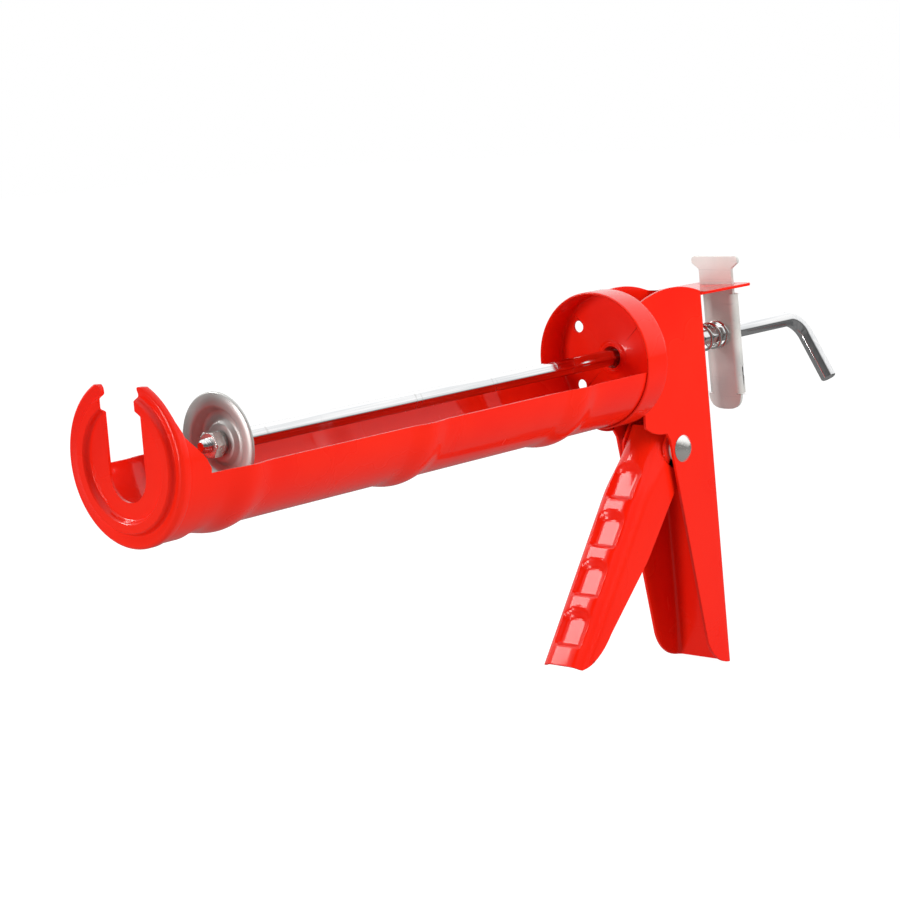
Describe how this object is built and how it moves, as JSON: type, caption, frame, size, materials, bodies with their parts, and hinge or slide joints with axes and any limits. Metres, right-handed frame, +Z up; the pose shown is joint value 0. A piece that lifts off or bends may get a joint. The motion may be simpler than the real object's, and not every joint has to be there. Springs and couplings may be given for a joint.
{
  "type": "caulking gun",
  "caption": "Half-barrel caulking gun with a hexagonal push rod and hook, friction drive, thumb release plate and pressed-steel handle and trigger.",
  "frame": {"origin": "on the barrel axis, on the cartridge side of the rear cup's floor", "axes": "+X along the barrel towards the nozzle, +Z up, +Y to the left seen from behind"},
  "size_m": [0.3754, 0.0534, 0.163],
  "materials": {
    "red_paint": "gloss enamel over pressed steel",
    "zinc_plate": "bright zinc plating",
    "bare_steel": "ground steel",
    "chrome_rod": "drawn and chrome-plated bar",
    "spring_wire": "nickel-plated spring wire"
  },
  "bodies": {
    "gun_body": {"frame": "red_paint", "rear_cup": "red_paint", "rod_guide_bush": "red_paint", "cradle": "red_paint", "front_cap": "red_paint", "pivot_rivet": "zinc_plate", "pivot_spacer": "bare_steel", "pivot_washers": "zinc_plate", "drive_spring": "spring_wire", "release_spring": "spring_wire"},
    "trigger": {"trigger": "red_paint"},
    "drive": {"drive_plate_front": "bare_steel", "drive_plate_rear": "bare_steel", "drive_spring_washer": "zinc_plate"},
    "release": {"release_plate": "zinc_plate"},
    "push_rod": {"rod": "chrome_rod", "piston_backing_washer": "zinc_plate", "piston_plate": "zinc_plate", "piston_lock_washer": "bare_steel", "piston_nut": "zinc_plate"}
  },
  "joints": [
    {"name": "trigger_pivot", "type": "hinge", "parent": "gun_body", "child": "trigger", "pos_m": [-0.0239, 0, -0.0389], "axis": [0, 1, 0], "range_deg": [0, 28], "stiffness_Nm_per_rad": 0.6, "springref_deg": -34.38},
    {"name": "drive_slide", "type": "slide", "parent": "gun_body", "child": "drive", "axis": [1, 0, 0], "range_m": [0, 0.01301], "deforming": ["drive_spring"]},
    {"name": "release_hinge", "type": "hinge", "parent": "gun_body", "child": "release", "pos_m": [-0.0715, 0, 0.0199], "axis": [0, -1, 0], "range_deg": [0, 5], "stiffness_Nm_per_rad": 0.3, "springref_deg": -17.19, "deforming": ["release_spring"]},
    {"name": "rod_slide", "type": "slide", "parent": "gun_body", "child": "push_rod", "axis": [1, 0, 0], "range_m": [-0.196, 0.034]}
  ],
  "couplings": [
    {"joint": "drive_slide", "follows": "trigger_pivot", "m_per_rad": 0.026586}
  ]
}
